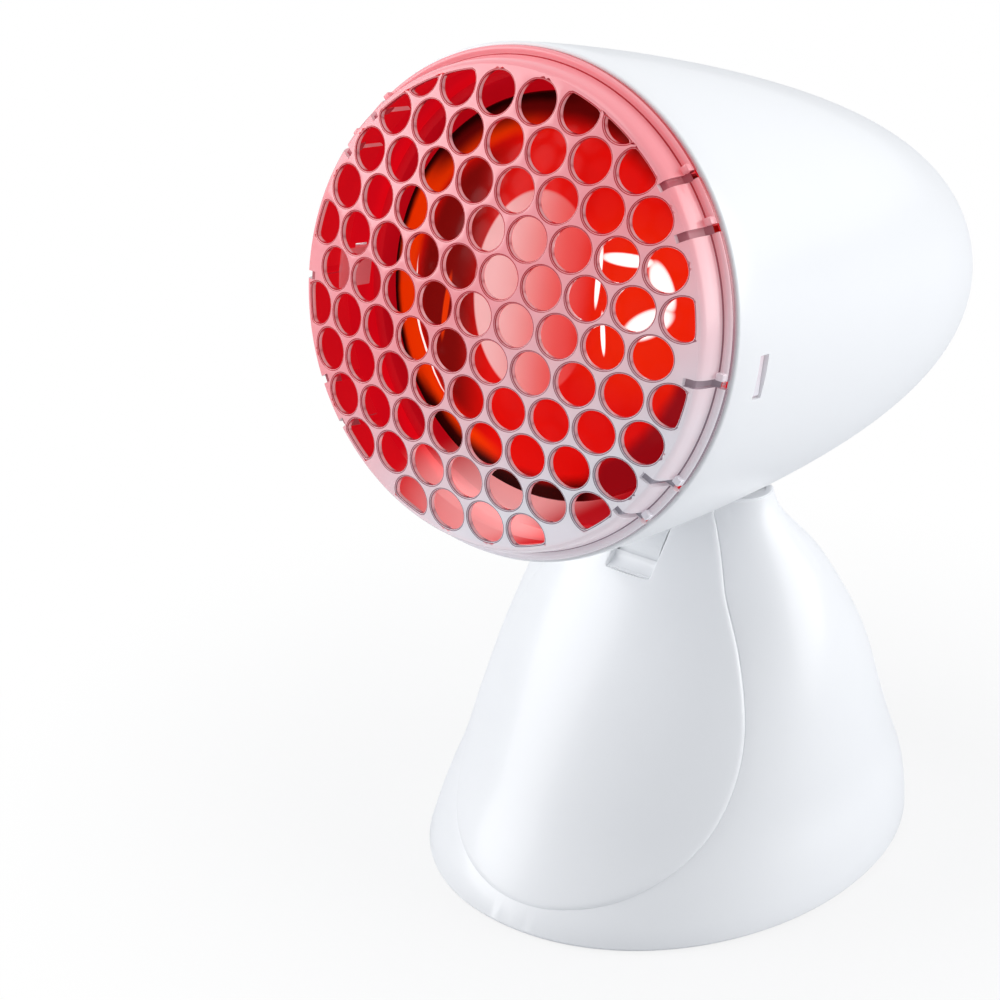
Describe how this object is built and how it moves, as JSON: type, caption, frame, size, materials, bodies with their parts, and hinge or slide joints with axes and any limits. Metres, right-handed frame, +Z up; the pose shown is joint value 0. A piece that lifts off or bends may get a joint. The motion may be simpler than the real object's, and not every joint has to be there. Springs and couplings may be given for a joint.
{
  "type": "infrared heat therapy lamp",
  "caption": "Table heat lamp: a long tilting hood with a red reflector bulb behind a perforated clear grille, on a rounded hollow stand with a rear switch.",
  "frame": {"origin": "on the table, under the middle of the whole lamp's box", "axes": "+Z up, -Y the way the bulb faces, +X the lamp's left as it looks out"},
  "size_m": [0.1508, 0.2494, 0.2878],
  "materials": {
    "white_plastic": "moulded gloss white",
    "soft_white_plastic": "moulded satin white",
    "clear_plastic": "clear moulded polycarbonate",
    "red_glass": "red-coloured pressed glass",
    "mirror_coating": "aluminised glass",
    "plated_steel": "zinc-plated",
    "sheet_aluminium": "bright sheet",
    "cap_brass": "stamped",
    "tungsten_wire": "drawn wire",
    "porcelain": "glazed ceramic",
    "dark_plastic": "moulded satin dark grey",
    "black_rubber": "moulded"
  },
  "bodies": {
    "stand": {"front_panel": "white_plastic", "rear_shell": "white_plastic", "base_plate": "soft_white_plastic", "foot_front_left": "black_rubber", "foot_front_right": "black_rubber", "foot_rear_left": "black_rubber", "foot_rear_right": "black_rubber", "base_screw_1": "plated_steel", "base_screw_2": "plated_steel", "base_screw_3": "plated_steel", "base_screw_4": "plated_steel", "column_screw_1": "plated_steel", "column_screw_2": "plated_steel", "column_screw_3": "plated_steel", "column_screw_4": "plated_steel", "pivot_column": "plated_steel", "tilt_axle": "plated_steel", "axle_clip": "plated_steel", "axle_bush_left": "soft_white_plastic", "axle_bush_right": "soft_white_plastic", "detent_spring": "plated_steel", "detent_screw": "plated_steel", "switch_body": "dark_plastic", "cord_gland": "black_rubber", "cord_clamp": "dark_plastic", "terminal_block": "porcelain", "clamp_screw_1": "plated_steel", "clamp_screw_2": "plated_steel"},
    "head": {"hood_shell": "white_plastic", "protective_grille": "clear_plastic", "bulb_lens": "red_glass", "bulb_reflector": "mirror_coating", "bulb_cap": "cap_brass", "bulb_contact": "plated_steel", "bulb_filament": "tungsten_wire", "lampholder": "porcelain", "heat_shield": "sheet_aluminium", "lamp_bracket": "plated_steel", "bracket_screw_1": "plated_steel", "bracket_screw_2": "plated_steel", "bracket_screw_3": "plated_steel", "holder_screw_1": "plated_steel", "holder_screw_2": "plated_steel", "neck_block": "soft_white_plastic", "neck_screw_1": "plated_steel", "neck_screw_2": "plated_steel"},
    "rocker": {"switch_rocker": "dark_plastic"}
  },
  "joints": [
    {"name": "head_tilt", "type": "hinge", "parent": "stand", "child": "head", "pos_m": [0, -0.01437, 0.1], "axis": [1, 0, 0], "range_deg": [-6, 18]},
    {"name": "switch_rock", "type": "hinge", "parent": "stand", "child": "rocker", "pos_m": [0, 0.0618, 0.046], "axis": [1, 0, 0], "range_deg": [0, 14]}
  ]
}
